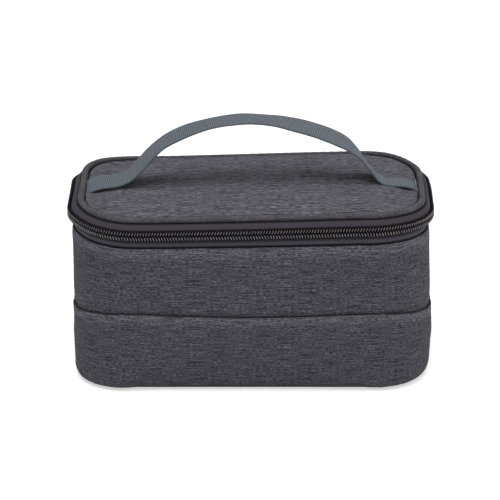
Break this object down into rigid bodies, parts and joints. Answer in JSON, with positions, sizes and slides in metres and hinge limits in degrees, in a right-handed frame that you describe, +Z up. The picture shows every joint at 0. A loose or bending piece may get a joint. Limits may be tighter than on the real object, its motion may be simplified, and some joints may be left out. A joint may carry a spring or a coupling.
{
  "type": "cooler bag",
  "caption": "Soft insulated lunch cooler bag with a zipped lid hinged at the back, a webbing carrying handle, and a foil-lined compartment.",
  "frame": {"origin": "middle of the flat bottom face", "axes": "+X along the width, +Y to the back where the lid is hinged, +Z up"},
  "size_m": [0.236, 0.142, 0.1651],
  "materials": {
    "outer_fabric": "matte melange polyester weave",
    "piping_fabric": "matte self-fabric piping",
    "handle_webbing": "satin ribbed webbing",
    "foam": "matte closed-cell foam",
    "foil_lining": "soft metallic foil",
    "binding_tape": "matte woven tape",
    "zip_tape": "matte knitted tape",
    "zip_teeth": "glossy nylon",
    "zip_metal": "satin gunmetal"
  },
  "bodies": {
    "bag_body": {"upper_wrap": "outer_fabric", "lower_wrap": "outer_fabric", "bottom_panel": "outer_fabric", "wall_foam": "foam", "bottom_foam": "foam", "wall_lining": "foil_lining", "bottom_lining": "foil_lining", "base_seam_binding": "binding_tape", "mouth_binding": "binding_tape", "body_zip_tape": "zip_tape", "body_zip_teeth": "zip_teeth", "body_zip_teeth_run": "zip_teeth", "hinge_strip_body": "outer_fabric"},
    "lid": {"lid_top_panel": "outer_fabric", "lid_piping": "piping_fabric", "lid_foam": "foam", "lid_lining": "foil_lining", "lid_seam_binding": "binding_tape", "lid_zip_tape": "zip_tape", "lid_zip_teeth": "zip_teeth", "lid_zip_teeth_run": "zip_teeth", "hinge_strip_lid": "outer_fabric", "handle_end_left": "handle_webbing", "handle_end_right": "handle_webbing"},
    "handle": {"handle_webbing": "handle_webbing"},
    "slider": {"zip_slider": "zip_metal"},
    "puller": {"zip_puller": "zip_metal"}
  },
  "joints": [
    {"name": "lid_hinge", "type": "hinge", "parent": "bag_body", "child": "lid", "pos_m": [0, 0.0695, 0.1145], "axis": [-1, 0, 0], "range_deg": [0, 180]},
    {"name": "handle_swing", "type": "hinge", "parent": "lid", "child": "handle", "pos_m": [0, 0, 0.13015], "axis": [1, 0, 0], "range_deg": [-70, 70], "stiffness_Nm_per_rad": 0.02},
    {"name": "slider_travel", "type": "hinge", "parent": "bag_body", "child": "slider", "pos_m": [0.075, 0.023, 0.11], "axis": [0, 0, -1], "range_deg": [0, 74], "deforming": ["body_zip_teeth_run", "lid_zip_teeth_run"]},
    {"name": "puller_flip", "type": "hinge", "parent": "slider", "child": "puller", "pos_m": [0.08133, 0.06803, 0.11], "axis": [0, 0, -1], "range_deg": [0, 170]}
  ]
}
